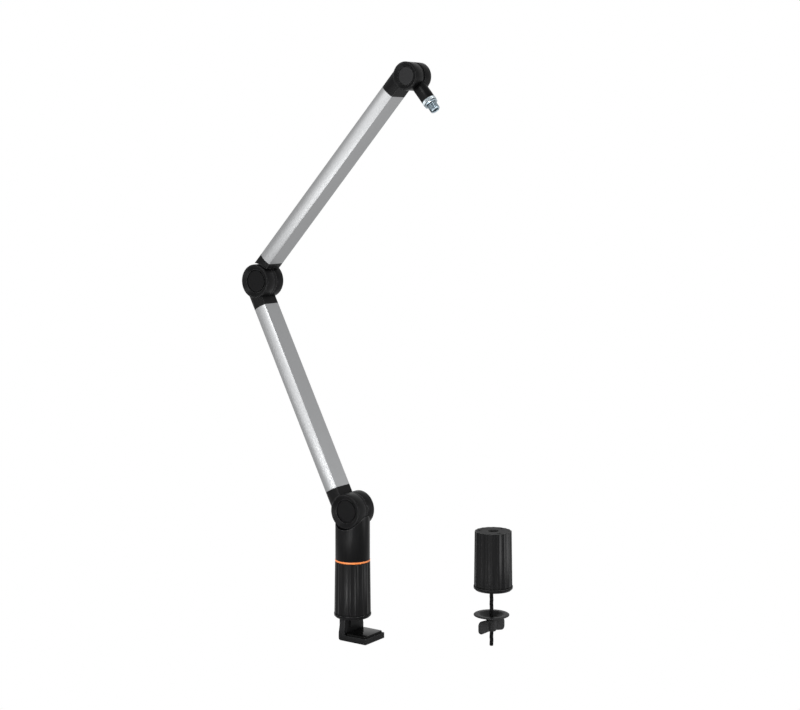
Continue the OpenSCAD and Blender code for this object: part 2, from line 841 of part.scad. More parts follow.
module mic_stud() {
    color("silver") head_frame() translate([0, 0, spigot_reach - stud_in + run_gap])
        cylinder(r = stud_r, h = stud_in + stud_out);
}

module thread_adapter() {
    l = adapter_flange_t + thread_l;
    color([0.80, 0.84, 0.88]) head_frame() translate([0, 0, adapter_at]) difference() {
        union() {
            cylinder(r = adapter_flange_r, h = adapter_flange_t);
            cylinder(r = thread_r, h = l);
        }
        translate([0, 0, -cut]) cylinder(r = stud_r + run_gap, h = l + 2 * cut);
        rotate([0, 0, adapter_slot_turn]) translate([-2 * thread_r, -adapter_slot_w / 2, l - adapter_slot_d])
            cube([4 * thread_r, adapter_slot_w, adapter_slot_d + cut]);
    }
}

module lock_ring() {
    color([0.85, 0.87, 0.89]) head_frame() translate([0, 0, lock_ring_at])
        ring(lock_ring_r, stud_r + run_gap, lock_ring_t);
}

// Through-desk base
module second_core() {
    color([0.10, 0.10, 0.11]) second_place() difference() {
        core_form();
        translate([rod_x, 0, -cut]) cylinder(r = rod_r + run_gap, h = rod_rise + seat_gap + cut);
        translate([rod_x, 0, -cut])
            cylinder(r = rod_nut_af / 2 / cos(30) + seat_gap, h = flange_h + rod_nut_t + 3 * run_gap + cut, $fn = 6);
    }
}

module second_sleeve() {
    color([0.09, 0.09, 0.10]) second_place() fluted_sleeve();
}

module second_flange() {
    color([0.09, 0.09, 0.10]) second_place() difference() {
        flange_form();
        translate([rod_x, 0, -cut]) cylinder(r = rod_r + seat_gap, h = flange_h + 2 * cut);
    }
}

module second_desk_ring() {
    color([0.05, 0.05, 0.05]) second_place() rubber_ring();
}

module second_screws() {
    color("silver") second_place() at_base_screws() flat_screw(screw_l - seat_gap);
}

module second_plate() {
    color([0.12, 0.12, 0.13]) second_place() plate_form();
}

module second_plate_screws() {
    color("dimgray") second_place() at_plate_screws() flat_screw(screw_l - seat_gap);
}

module second_bush() {
    color("ivory") second_place() bush_form();
}

module second_rod() {
    color("dimgray") rod_place() translate([0, 0, -rod_drop]) cylinder(r = rod_r, h = rod_drop + rod_rise);
}

module second_rod_nut() {
    color("silver") rod_place() translate([0, 0, flange_h + run_gap]) difference() {
        cylinder(r = rod_nut_af / 2 / cos(30), h = rod_nut_t, $fn = 6);
        translate([0, 0, -cut]) cylinder(r = rod_r + run_gap, h = rod_nut_t + 2 * cut);
    }
}

module dished_washer() {
    slope = washer_t * 0.4;
    hole_r = rod_r + seat_gap;
    color([0.13, 0.13, 0.14]) rod_place() translate([0, 0, -washer_gap]) rotate_extrude() polygon([
        [washer_r, 0], [washer_rim_r, 0], [washer_bottom_r, -washer_depth + washer_t],
        [hole_r, -washer_depth + washer_t], [hole_r, -washer_depth],
        [washer_bottom_r + slope, -washer_depth], [washer_rim_r + slope, -washer_t],
        [washer_r, -washer_t]
    ]);
}

// One wing of the nut seen from its side, with round corners
module wing_outline() {
    r = 6.5;
    hull() {
        translate([wing_hub_r / 2, -wing_hub_h]) square([1, wing_hub_h]);
        translate([wing_span_half - r, -r]) circle(r = r, $fn = HULL_FN);
        translate([wing_span_half - r - 1, -wing_h + r]) circle(r = r, $fn = HULL_FN);
    }
}

module wing_nut() {
    top = -washer_gap - washer_depth - seat_gap;
    color([0.13, 0.13, 0.14]) rod_place() translate([0, 0, top]) rotate([0, 0, wing_turn]) difference() {
        union() {
            translate([0, 0, -wing_hub_h]) cylinder(r = wing_hub_r, h = wing_hub_h);
            for (turn = [0, 180]) rotate([0, 0, turn]) translate([0, wing_t / 2, 0]) rotate([90, 0, 0])
                linear_extrude(height = wing_t) wing_outline();
        }
        translate([0, 0, -wing_hub_h - cut]) cylinder(r = rod_r + run_gap, h = wing_hub_h + 2 * cut);
    }
}

base_core();
base_flange();
desk_ring();
base_screws();
top_plate();
plate_screws();
swivel_bush();
clamp_bracket();
jaw_pad();
clamp_sleeve();
post_housing();
arm_spigot();
spigot_screw();
swivel_ring();
shoulder_connector();
lower_tube();
elbow_lower_connector();
lower_tube_screws();
shoulder_bolt();
shoulder_nut();
shoulder_spring_washer();
shoulder_friction_washers();
shoulder_front_cap();
shoulder_back_cap();
elbow_bolt();
elbow_nut();
elbow_spring_washer();
elbow_friction_washers();
elbow_front_cap();
elbow_back_cap();
elbow_upper_connector();
upper_tube();
head_connector();
upper_tube_screws();
head_bolt();
head_nut();
head_spring_washer();
head_friction_washers();
head_front_cap();
head_back_cap();
mic_spigot();
mic_stud();
thread_adapter();
lock_ring();
second_core();
second_sleeve();
second_flange();
second_desk_ring();
second_screws();
second_plate();
second_plate_screws();
second_bush();
second_rod();
second_rod_nut();
dished_washer();
wing_nut();
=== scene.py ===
import json
import math

import bmesh
import bpy
from mathutils import Matrix, Vector


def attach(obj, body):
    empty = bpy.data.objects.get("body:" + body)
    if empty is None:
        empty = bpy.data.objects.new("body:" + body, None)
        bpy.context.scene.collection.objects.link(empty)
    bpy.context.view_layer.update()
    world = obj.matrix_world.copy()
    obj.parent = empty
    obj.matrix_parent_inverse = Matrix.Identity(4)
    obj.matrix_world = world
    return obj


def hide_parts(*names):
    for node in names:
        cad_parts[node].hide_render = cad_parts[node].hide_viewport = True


# The desktop microphone stand: finishes for the frame's pieces, and finer shapes in place of some of them

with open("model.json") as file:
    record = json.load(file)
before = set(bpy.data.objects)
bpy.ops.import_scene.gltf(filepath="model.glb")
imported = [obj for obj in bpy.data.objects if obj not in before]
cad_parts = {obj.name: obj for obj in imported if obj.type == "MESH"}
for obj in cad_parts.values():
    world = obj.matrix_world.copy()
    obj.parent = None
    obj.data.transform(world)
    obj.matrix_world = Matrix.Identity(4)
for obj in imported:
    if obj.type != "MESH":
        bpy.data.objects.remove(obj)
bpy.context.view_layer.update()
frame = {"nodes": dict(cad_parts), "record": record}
nodes = frame["nodes"]

MM = 0.001

# Sizes of the frame's own pieces, in millimetres and degrees. SECOND is the loose base's place
LOWER_LEAN = 27.4
UPPER_LEAN = 42.3
HEAD_DIP = 50.5
PIVOT_H = 167.5
LOWER_L = 399.0
UPPER_L = 442.0
BARREL_HALF = 21.0
DISH_DEPTH = 3.5
CAP_T = 2.3
CAP_R = 18.8
HEAD_CAP_R = 14.5
CAP_STEP = 1.6
HEAD_CAP_STEP = 0.6
CAP_STEP_Z = 0.2
CAP_GAP = 0.05
SLEEVE_TOP_R = 27.8
SLEEVE_FOOT_R = 28.8
SLEEVE_BORE_R = 24.9
SLEEVE_LIP_R = 25.5
SLEEVE_Z = 5.7
BASE_H = 87.2
PLATE_T = 3.0
FLUTES = 18
FLUTE_DEPTH = 0.9
FLUTE_R = 9.0
FLUTE_TURN = 9.0
SPIGOT_REACH = 47.7
STUD_R = 4.81
LOCK_RING_R = 11.3
LOCK_RING_T = 5.0
LOCK_RING_GAP = 0.3
ADAPTER_R = 10.8
ADAPTER_T = 2.5
ADAPTER_GAP = 1.0
THREAD_R = 7.94
THREAD_L = 12.0
THREAD_PITCH = 0.94
SLOT_W = 3.0
SLOT_D = 5.5
SLOT_TURN = -52.0
RING_Z = 87.5
RING_T = 2.75
RING_R = 27.8
RING_BORE_R = 8.05
FOOT_TOP = -24.8
PAD_T = 3.0
PAD_GAP = 0.05
PAD_BOX = ((3.6, 41.7), (-23.6, 23.6))
PAD_CORNER = 4.0
SECOND = (257.8, 4.0, 79.0)
ROD_X = -3.0
ROD_R = 3.0
ROD_PITCH = 1.0
ROD_DROP = 84.5
ROD_RISE = 28.0
WASHER_GAP = 37.4
WASHER_R = 26.8
WASHER_RIM_R = 18.5
WASHER_BOTTOM_R = 9.0
WASHER_DEPTH = 7.5
WASHER_T = 1.6
WING_SPAN = 25.5
WING_H = 20.0
WING_T = 4.0
WING_HUB_R = 7.0
WING_HUB_H = 17.0
WING_HUB_GAP = 0.3
WING_TURN = 74.0

# How many columns a turned piece has unless its own shape sets them, and how close in mm its points are
# merged
ROUND_COLUMNS = 128
DOUBLES = 0.003

# Roundings of the frame's own edges, in mm
ROUNDED = {
    "shoulder_connector": 0.2, "elbow_lower_connector": 0.2, "elbow_upper_connector": 0.25,
    "head_connector": 0.3, "post_housing": 0.3, "mic_spigot": 0.3, "clamp_bracket": 0.7,
    "lower_tube": 0.12, "upper_tube": 0.12,
}

# The photograph's camera: its place in metres, its turn in degrees, its lens in mm and its rise as a
# share of depth
CAMERA_PLACE = (1.5655, -2.1206, 0.7214)
CAMERA_TURN = 34.81
CAMERA_LENS = 75.07
CAMERA_RISE = 0.1175

# The light: how strong the surroundings shine on the part, the floor's height in metres, and each lamp's
# name, place, aim and size in metres, its power in watts and its spread in degrees
AMBIENT = 0.3
FLOOR_Z = -0.0345
LAMPS = (
    ("front_wide", (-0.35, -2.8, 1.15), (-0.35, 0, 1.15), (4.2, 2.0), 36, 180),
    ("front_key", (0.7, -2.6, 1.0), (0.3, 0, 0.6), (2.2, 1.8), 8, 180),
    ("front_strip", (0.3, -1.5, 0.1), (-0.02, 0, -0.02), (0.36, 0.22), 0.36, 25),
    ("front_high", (0.15, -2.0, 2.2), (0, 0, 0.4), (0.5, 0.5), 34, 180),
    ("right_key", (2.1, -1.25, 0.7), (0, 0, 0.4), (0.7, 1.6), 6, 180),
    ("low_bounce", (-0.35, -1.35, -0.02), (-0.35, -1.3, 1), (3.0, 1.4), 41, 180),
    ("low_near", (0.02, -0.86, -0.02), (0.02, -0.85, 1), (0.8, 0.28), 6, 180),
    ("low_right", (0.62, -0.48, -0.02), (0.62, -0.43, 1), (0.55, 0.4), 1.8, 180),
    ("side_right", (0.93, 0.19, 0.25), (0.26, 0, 0.1), (0.5, 0.4), 6, 180),
    ("side_far", (1.5, 0.55, 0.25), (0.1, 0, 0.1), (1.2, 0.6), 4.5, 180),
)


def place(x=0, y=0, z=0, tilt=0):
    """A place in the row frame, in mm, tilted about Y by that many degrees."""
    return Matrix.Translation(Vector((x, y, z)) * MM) @ Matrix.Rotation(math.radians(tilt), 4, "Y")


SHOULDER = place(z=PIVOT_H, tilt=-LOWER_LEAN)
ELBOW = SHOULDER @ place(z=LOWER_L)
ELBOW_UPPER = Matrix.Translation(ELBOW.to_translation()) @ place(tilt=UPPER_LEAN)
HEAD = ELBOW_UPPER @ place(z=UPPER_L)
SPIGOT = Matrix.Translation(HEAD.to_translation()) @ place(tilt=90 + HEAD_DIP)
SECOND_BASE = place(*SECOND)
ROD = place(SECOND[0] + ROD_X, SECOND[1], SECOND[2])


# Camera, floor and lights

def add_camera():
    """The photograph's view: a level camera whose rising front shifts the frame down from the horizon.

    The rise is a lean of the view's axis that the rig gives, so that a view from elsewhere is centred.
    """
    data = bpy.data.cameras.new("photo_camera")
    camera = bpy.data.objects.new("photo_camera", data)
    rig = bpy.data.objects.new("camera_rig", None)
    for part in (camera, rig):
        bpy.context.scene.collection.objects.link(part)
    camera.location = CAMERA_PLACE
    camera.rotation_euler = (math.radians(90), 0, math.radians(CAMERA_TURN))
    level = Matrix.Translation(camera.location) @ camera.rotation_euler.to_matrix().to_4x4()
    camera.parent = rig
    camera.matrix_parent_inverse = level @ Matrix.Shear("XY", 4, (0, CAMERA_RISE)) @ level.inverted()
    data.sensor_fit = "HORIZONTAL"
    data.sensor_width = 36
    data.lens = CAMERA_LENS * math.hypot(1, CAMERA_RISE)
    bpy.context.scene.camera = camera


def add_lamp(name, where, aim, size, power, spread):
    """A flat lamp that faces its aim."""
    data = bpy.data.lights.new(name, "AREA")
    data.spread = math.radians(spread)
    data.shape = "RECTANGLE"
    data.size, data.size_y = size
    data.energy = power
    lamp = bpy.data.objects.new(name, data)
    bpy.context.scene.collection.objects.link(lamp)
    lamp.location = where
    lamp.rotation_euler = (Vector(aim) - Vector(where)).to_track_quat("-Z", "Y").to_euler()


def seen_ray(tree):
    """1 for rays that show the background: from the camera, or off gloss, or through glass."""
    path = tree.nodes.new("ShaderNodeLightPath")
    seen = path.outputs["Is Camera Ray"]
    for ray in ("Is Glossy Ray", "Is Transmission Ray"):
        most = tree.nodes.new("ShaderNodeMath")
        most.operation = "MAXIMUM"
        tree.links.new(seen, most.inputs[0])
        tree.links.new(path.outputs[ray], most.inputs[1])
        seen = most.outputs[0]
    return seen


def add_world():
    """Surroundings that look white, and shine on the part with a share of that."""
    world = bpy.data.worlds.new("studio")
    bpy.context.scene.world = world
    world.use_nodes = True
    tree = world.node_tree
    level = tree.nodes.new("ShaderNodeMapRange")
    level.inputs["To Min"].default_value = AMBIENT
    level.inputs["To Max"].default_value = 1.0
    tree.links.new(seen_ray(tree), level.inputs["Value"])
    tree.links.new(level.outputs["Result"], tree.nodes["Background"].inputs["Strength"])
    tree.nodes["Background"].inputs["Color"].default_value = (1, 1, 1, 1)


def add_floor():
    """A plain floor: it looks evenly white, and sends light up as pale, matt board does."""
    bpy.ops.mesh.primitive_plane_add(size=12, location=(0, 0, FLOOR_Z))
    floor = bpy.context.object
    floor.name = "floor"
    material = bpy.data.materials.new("floor_white")
    material.use_nodes = True
    tree = material.node_tree
    shader = tree.nodes["Principled BSDF"]
    shader.inputs["Base Color"].default_value = (0.9, 0.9, 0.9, 1)
    shader.inputs["Roughness"].default_value = 0.9
    shader.inputs["Specular IOR Level"].default_value = 0.0
    glow = tree.nodes.new("ShaderNodeEmission")
    glow.inputs["Strength"].default_value = 1.0
    mix = tree.nodes.new("ShaderNodeMixShader")
    tree.links.new(seen_ray(tree), mix.inputs[0])
    tree.links.new(shader.outputs[0], mix.inputs[1])
    tree.links.new(glow.outputs[0], mix.inputs[2])
    tree.links.new(mix.outputs[0], tree.nodes["Material Output"].inputs["Surface"])
    floor.data.materials.append(material)


bpy.context.scene.view_settings.view_transform = "Standard"
add_camera()
add_world()
for lamp in LAMPS:
    add_lamp(*lamp)
add_floor()


# Node groups that several finishes share

def new_group(name, inputs, outputs):
    """A shader node group with named float or vector sockets; returns (tree, input node, output node)."""
    tree = bpy.data.node_groups.new(name, "ShaderNodeTree")
    for socket, (kind, value) in inputs.items():
        item = tree.interface.new_socket(socket, in_out="INPUT", socket_type="NodeSocket" + kind)
        item.default_value = value
    for socket, kind in outputs.items():
        tree.interface.new_socket(socket, in_out="OUTPUT", socket_type="NodeSocket" + kind)
    return tree, tree.nodes.new("NodeGroupInput"), tree.nodes.new("NodeGroupOutput")


def add_node(tree, kind, settings=None, **values):
    """A shader node. Each value is a constant or a link, for the socket of that name, or i0, i1 by number."""
    node = tree.nodes.new("ShaderNode" + kind)
    for key, value in (settings or {}).items():
        setattr(node, key, value)
    for key, value in values.items():
        socket = node.inputs[int(key[1:])] if key[1:].isdigit() else node.inputs[key.replace("_", " ")]
        if hasattr(value, "is_output"):
            tree.links.new(value, socket)
        else:
            socket.default_value = value
    return node


def maths(tree, operation, a, b=0.0, clamp=False):
    """The result of one operation on two values, each a constant or a link."""
    return add_node(tree, "Math", {"operation": operation, "use_clamp": clamp}, i0=a, i1=b).outputs[0]


def make_grain():
    """Moulded, blasted or painted grain: a height and a roughness that wander with it."""
    tree, given, out = new_group(
        "surface_grain",
        {"Scale": ("Float", 1500.0), "Stretch": ("Vector", (1, 1, 1)), "Turn": ("Vector", (0, 0, 0)),
         "Roughness": ("Float", 0.5), "Spread": ("Float", 0.1)},
        {"Height": "Float", "Roughness": "Float"})
    coarse_share = 0.06
    where = add_node(tree, "TexCoord").outputs["Object"]
    turned_to = add_node(tree, "Mapping", None, Vector=where, Rotation=given.outputs["Turn"])
    across = add_node(tree, "VectorMath", {"operation": "MULTIPLY"}, i0=turned_to.outputs[0],
                      i1=given.outputs["Stretch"])
    fine = add_node(tree, "TexNoise", None, Vector=across.outputs[0], Scale=given.outputs["Scale"],
                    Detail=2.0)
    coarse_scale = maths(tree, "MULTIPLY", given.outputs["Scale"], coarse_share)
    coarse = add_node(tree, "TexNoise", None, Vector=across.outputs[0], Scale=coarse_scale, Detail=3.0)
    both = maths(tree, "ADD", maths(tree, "MULTIPLY", fine.outputs["Fac"], 0.5),
                 maths(tree, "MULTIPLY", coarse.outputs["Fac"], 0.5))
    swing = maths(tree, "MULTIPLY", maths(tree, "SUBTRACT", both, 0.5), given.outputs["Spread"])
    tree.links.new(fine.outputs["Fac"], out.inputs["Height"])
    tree.links.new(maths(tree, "ADD", swing, given.outputs["Roughness"], clamp=True), out.inputs["Roughness"])
    return tree


def make_edge_wear_and_sheen():
    """A mask of exposed edges, broken up, for colour and gloss to follow: rubbed wear on most finishes, and a
    painted highlight along the rims of moulded black.
    """
    tree, given, out = new_group(
        "edge_wear_and_sheen", {"Width": ("Float", 0.0006), "Amount": ("Float", 0.5), "Breaks": ("Float", 0.45)},
        {"Mask": "Float"})
    gain, fade = 6.0, 0.17
    soft = add_node(tree, "Bevel", {"samples": 4}, Radius=given.outputs["Width"])
    hard = add_node(tree, "NewGeometry").outputs["Normal"]
    agree = add_node(tree, "VectorMath", {"operation": "DOT_PRODUCT"}, i0=soft.outputs[0], i1=hard)
    edge = maths(tree, "MULTIPLY", maths(tree, "SUBTRACT", 1.0, agree.outputs["Value"]), gain, clamp=True)
    where = add_node(tree, "TexCoord").outputs["Object"]
    patch = add_node(tree, "TexNoise", None, Vector=where, Scale=140.0, Detail=4.0)
    broken = add_node(tree, "MapRange", None, Value=patch.outputs["Fac"], From_Min=given.outputs["Breaks"],
                      From_Max=maths(tree, "ADD", given.outputs["Breaks"], fade))
    mask = maths(tree, "MULTIPLY", edge, broken.outputs[0])
    tree.links.new(maths(tree, "MULTIPLY", mask, given.outputs["Amount"]), out.inputs["Mask"])
    return tree


def make_handling():
    """Broad, faint marks of handling: a factor near 1 for colour, and a swing for roughness."""
    tree, given, out = new_group(
        "handling", {"Scale": ("Float", 22.0), "Tone": ("Float", 0.1), "Gloss": ("Float", 0.05)},
        {"Tone": "Float", "Gloss": "Float"})
    where = add_node(tree, "TexCoord").outputs["Object"]
    cloud = add_node(tree, "TexNoise", None, Vector=where, Scale=given.outputs["Scale"], Detail=5.0,
                     Roughness=0.6, Distortion=0.4)
    swing = maths(tree, "SUBTRACT", cloud.outputs["Fac"], 0.5)
    tree.links.new(maths(tree, "ADD", maths(tree, "MULTIPLY", swing, given.outputs["Tone"]), 1.0),
                   out.inputs["Tone"])
    tree.links.new(maths(tree, "MULTIPLY", swing, given.outputs["Gloss"]), out.inputs["Gloss"])
    return tree


def make_painted_shade():
    """Painted shade for gaps, slots and threads, from ambient occlusion: a colour factor from 1 in the open
    down to 1 less Amount.

    Open is 1 on ridges and flats, and 0 in corners, where nothing rubs."""
    tree, given, out = new_group(
        "painted_shade", {"Reach": ("Float", 0.002), "Amount": ("Float", 0.5)}, {"Tone": "Float", "Open": "Float"})
    open_share = add_node(tree, "AmbientOcclusion", {"samples": 8}, Distance=given.outputs["Reach"])
    closed = add_node(tree, "MapRange", None, Value=open_share.outputs["AO"], From_Min=0.35, From_Max=0.9,
                      To_Min=1.0, To_Max=0.0)
    shade = maths(tree, "MULTIPLY", closed.outputs[0], given.outputs["Amount"])
    tree.links.new(maths(tree, "SUBTRACT", 1.0, shade), out.inputs["Tone"])
    bare = add_node(tree, "MapRange", None, Value=open_share.outputs["AO"], From_Min=0.75, From_Max=0.95)
    tree.links.new(bare.outputs[0], out.inputs["Open"])
    return tree


GRAIN, EDGE_WEAR_AND_SHEEN, HANDLING, PAINTED_SHADE = make_grain(), make_edge_wear_and_sheen(), make_handling(), make_painted_shade()


def make_finish(name, colour, edge_colour, roughness, grain=1500.0, stretch=(1, 1, 1), turn=(0, 0, 0), bump=0.1,
                depth=0.05, spread=0.1, metallic=0.0, specular=0.5, tone=0.15, gloss=0.06, edge_amount=0.3,
                edge_width=0.5, breaks=0.45, painted_shade=0.3, reach=2.0):
    """A finish from the shared groups. colour is the clean surface, and the edge colour goes on exposed
    edges: rubbed wear on most finishes, and a painted highlight on moulded black; depth, the edge width and
    reach are in mm."""
    edge_gloss = 0.12
    material = bpy.data.materials.new(name)
    material.use_nodes = True
    tree = material.node_tree
    shader = tree.nodes["Principled BSDF"]
    shader.inputs["Metallic"].default_value = metallic
    shader.inputs["Specular IOR Level"].default_value = specular
    surface = add_node(tree, "Group", {"node_tree": GRAIN}, Scale=grain, Stretch=stretch, Turn=turn,
                       Roughness=roughness, Spread=spread)
    marks = add_node(tree, "Group", {"node_tree": HANDLING}, Tone=tone, Gloss=gloss)
    edge_node = add_node(tree, "Group", {"node_tree": EDGE_WEAR_AND_SHEEN}, Width=edge_width * MM, Amount=edge_amount, Breaks=breaks)
    # Painted shade: the colour darkens where ambient occlusion finds surfaces within reach
    shade = add_node(tree, "Group", {"node_tree": PAINTED_SHADE}, Reach=reach * MM, Amount=painted_shade)
    tones = maths(tree, "MULTIPLY", marks.outputs["Tone"], shade.outputs["Tone"])
    clean = add_node(tree, "VectorMath", {"operation": "SCALE"}, i0=colour, Scale=tones)
    # Edge colour: rubbed wear, and on moulded black a painted highlight; kept off concave corners
    edge_mask = maths(tree, "MULTIPLY", edge_node.outputs["Mask"], shade.outputs["Open"])
    mixed = add_node(tree, "Mix", {"data_type": "RGBA"}, Factor=edge_mask)
    first_colour, second_colour, mixed_colour = mixed.inputs[6], mixed.inputs[7], mixed.outputs[2]
    tree.links.new(clean.outputs[0], first_colour)
    second_colour.default_value = (*edge_colour, 1)
    tree.links.new(mixed_colour, shader.inputs["Base Color"])
    rough = maths(tree, "ADD", surface.outputs["Roughness"], marks.outputs["Gloss"])
    rough = maths(tree, "SUBTRACT", rough, maths(tree, "MULTIPLY", edge_mask, edge_gloss), clamp=True)
    tree.links.new(rough, shader.inputs["Roughness"])
    relief = add_node(tree, "Bump", None, Strength=bump, Distance=depth * MM,
                      Height=surface.outputs["Height"])
    tree.links.new(relief.outputs[0], shader.inputs["Normal"])
    return material


def make_tube_finish(name, lean):
    """Brushed aluminium, its grain drawn out along a tube that leans by that many degrees."""
    return make_finish(name, (0.275, 0.278, 0.282), (0.4, 0.4, 0.4), 0.48, grain=1600, stretch=(1, 1, 0.04),
                       turn=(0, math.radians(-lean), 0), bump=0.05, depth=0.02, spread=0.14, metallic=1.0,
                       tone=0.04, gloss=0.05, edge_amount=0.1)


# Each slot's finish, and some for single pieces. The bushes' slot is called ivory, but they are black in
# the photograph
FINISH = {
    # Moulded black's pale edge colour is a painted highlight along rims and lips, standing for the sheen of
    # their rounds
    "moulded_black": make_finish("moulded_black", (0.0022, 0.0022, 0.0024), (0.07, 0.07, 0.071), 0.38,
                                 grain=2600, bump=0.2, specular=0.065, edge_amount=0.9, edge_width=0.9, breaks=0.25),
    "sleeve_black": make_finish("sleeve_black", (0.003, 0.003, 0.0032), (0.02, 0.02, 0.02), 0.32,
                                grain=2600, bump=0.1, specular=0.07),
    "cap_black": make_finish("cap_black", (0.0032, 0.0032, 0.0034), (0.02, 0.02, 0.02), 0.42,
                             grain=2200, bump=0.15, specular=0.05),
    # A lighter copy of the cap black for the head's caps: painted light standing for the brighter sheen they
    # show
    "head_cap_painted_lit": make_finish("head_cap_painted_lit", (0.0085, 0.0085, 0.009), (0.03, 0.03, 0.03), 0.40,
                                  grain=2200, bump=0.15, specular=0.12),
    "ring_rubber": make_finish("ring_rubber", (0.006, 0.006, 0.006), (0.03, 0.03, 0.03), 0.75,
                               grain=1800, bump=0.3, specular=0.1, edge_amount=0.1),
    "pad_rubber": make_finish("pad_rubber", (0.002, 0.002, 0.002), (0.03, 0.03, 0.03), 0.14,
                              grain=1300, bump=0.05, depth=0.02, specular=0.045, edge_amount=0.1),
    # Painted shade darkens the bracket's inner faces and corners, over a reach of 30 mm
    "bracket_black": make_finish("bracket_black", (0.012, 0.012, 0.0125), (0.05, 0.05, 0.05), 0.36,
                                 grain=520, bump=0.12, depth=0.08, specular=0.045, edge_amount=0.15, painted_shade=0.9,
                                 reach=30),
    "plate_black": make_finish("plate_black", (0.024, 0.024, 0.0245), (0.06, 0.06, 0.06), 0.6,
                               grain=700, bump=0.2, specular=0.05, tone=0.5),
    "tube_lower": make_tube_finish("tube_lower", -LOWER_LEAN),
    "tube_upper": make_tube_finish("tube_upper", UPPER_LEAN),
    "ring_orange": make_finish("ring_orange", (0.55, 0.16, 0.04), (0.6, 0.3, 0.15), 0.4,
                               grain=2000, bump=0.1, specular=0.25, edge_amount=0.15),
    # Painted shade darkens the bush's bore towards its depth
    "bush_ivory": make_finish("bush_black", (0.003, 0.003, 0.003), (0.02, 0.02, 0.02), 0.6,
                              grain=1500, bump=0.1, specular=0.02, edge_amount=0.05, painted_shade=0.9, reach=20),
    "bright_steel": make_finish("bright_steel", (0.56, 0.56, 0.57), (0.7, 0.7, 0.7), 0.25,
                                grain=1200, bump=0.08, metallic=1.0, tone=0.06),
    "black_steel": make_finish("black_steel", (0.003, 0.003, 0.0031), (0.06, 0.06, 0.06), 0.4,
                               grain=1500, bump=0.12, specular=0.035, edge_amount=0.15),
    "friction_brown": make_finish("friction_brown", (0.20, 0.10, 0.05), (0.3, 0.18, 0.1), 0.8,
                                  grain=1000, bump=0.3, edge_amount=0.1),
    # Painted shade darkens the thread's grooves and the slot
    "zinc_bright": make_finish("zinc_bright", (0.29, 0.35, 0.39), (0.4, 0.46, 0.49), 0.26,
                               grain=900, bump=0.08, metallic=1.0, tone=0.2, gloss=0.1, edge_amount=0.3,
                               painted_shade=0.9, reach=2.5),
    # Painted shade darkens the knurl's grooves
    "ring_zinc": make_finish("ring_zinc", (0.38, 0.415, 0.435), (0.42, 0.45, 0.47), 0.55,
                             grain=900, bump=0.08, metallic=1.0, tone=0.08, edge_amount=0.1, painted_shade=0.7,
                             reach=1.0),
    # Painted shade darkens the washer's dish and the wing nut's corners, over a reach of 16 mm
    "pressed_black": make_finish("pressed_black", (0.014, 0.014, 0.0144), (0.06, 0.06, 0.06), 0.42,
                                 grain=900, bump=0.1, specular=0.055, painted_shade=0.95, reach=16),
}


# Finishes on the frame's own pieces

OWN_FINISH = {"lower_tube": "tube_lower", "upper_tube": "tube_upper", "head_front_cap": "head_cap_painted_lit",
              "head_back_cap": "head_cap_painted_lit", "lock_ring": "ring_zinc"}
slots = {row["node"]: row["material_slot"] for row in frame["record"]["subparts"]}


def finish_for(node):
    """A node's own finish, or else its slot's."""
    return FINISH[OWN_FINISH.get(node, slots[node])]


for name, piece in nodes.items():
    materials = piece.data.materials
    if not materials:
        materials.append(None)
    for i in range(len(materials)):
        materials[i] = finish_for(name)


# Ways to model the new pieces

def alone(piece):
    """Makes a piece the only selected one."""
    bpy.ops.object.select_all(action="DESELECT")
    piece.select_set(True)
    bpy.context.view_layer.objects.active = piece


def pick(piece, wanted):
    """Selects, in edit mode, the points of a piece for which wanted(point) is true."""
    mesh = bmesh.from_edit_mesh(piece.data)
    for part in (*mesh.faces, *mesh.edges):
        part.select = False
    for point in mesh.verts:
        point.select = wanted(point.co)
    mesh.select_flush(True)
    bmesh.update_edit_mesh(piece.data)


def pick_edges(piece, wanted):
    """Selects, in edit mode, the edges of a piece for which wanted(end, end) is true."""
    mesh = bmesh.from_edit_mesh(piece.data)
    for part in (*mesh.faces, *mesh.edges, *mesh.verts):
        part.select = False
    for edge in mesh.edges:
        if wanted(edge.verts[0].co, edge.verts[1].co):
            edge.select_set(True)
    bmesh.update_edit_mesh(piece.data)


def block(centre, size, turn=0):
    """A block of a size about its centre, in mm, turned about Z by that many degrees."""
    bpy.ops.object.select_all(action="DESELECT")
    bpy.ops.mesh.primitive_cube_add(size=1, location=[c * MM for c in centre],
                                    rotation=(0, 0, math.radians(turn)), scale=[s * MM for s in size])
    return bpy.context.object


def turned(name, profile, columns, solid=False):
    """A turned piece about Z, from its profile of (radius, height) in mm: a circle extruded and resized
    from ring to ring. A solid one is closed by flat ends, any other by coming back to its first ring."""
    bpy.ops.object.select_all(action="DESELECT")
    radius, height = profile[0]
    bpy.ops.mesh.primitive_circle_add(vertices=columns, radius=radius * MM, location=(0, 0, height * MM),
                                      fill_type="NGON" if solid else "NOTHING")
    piece = bpy.context.object
    piece.name = name
    bpy.ops.object.transform_apply(location=True, rotation=True, scale=True)
    bpy.ops.object.mode_set(mode="EDIT")
    bpy.ops.mesh.select_all(action="SELECT")
    rings = profile[1:] if solid else profile[1:] + profile[:1]
    for next_radius, next_height in rings:
        rise = (0, 0, (next_height - height) * MM)
        if solid:
            bpy.ops.mesh.extrude_region_move(TRANSFORM_OT_translate={"value": rise})
        else:
            bpy.ops.mesh.extrude_edges_move(TRANSFORM_OT_translate={"value": rise})
        share = next_radius / radius
        bpy.ops.transform.resize(value=(share, share, 1), center_override=(0, 0, 0))
        radius, height = next_radius, next_height
    bpy.ops.object.mode_set(mode="OBJECT")
    return piece


def column_of(point, columns):
    """The number of the column that a point of a turned piece lies on."""
    return round(math.atan2(point.y, point.x) / math.tau * columns) % columns


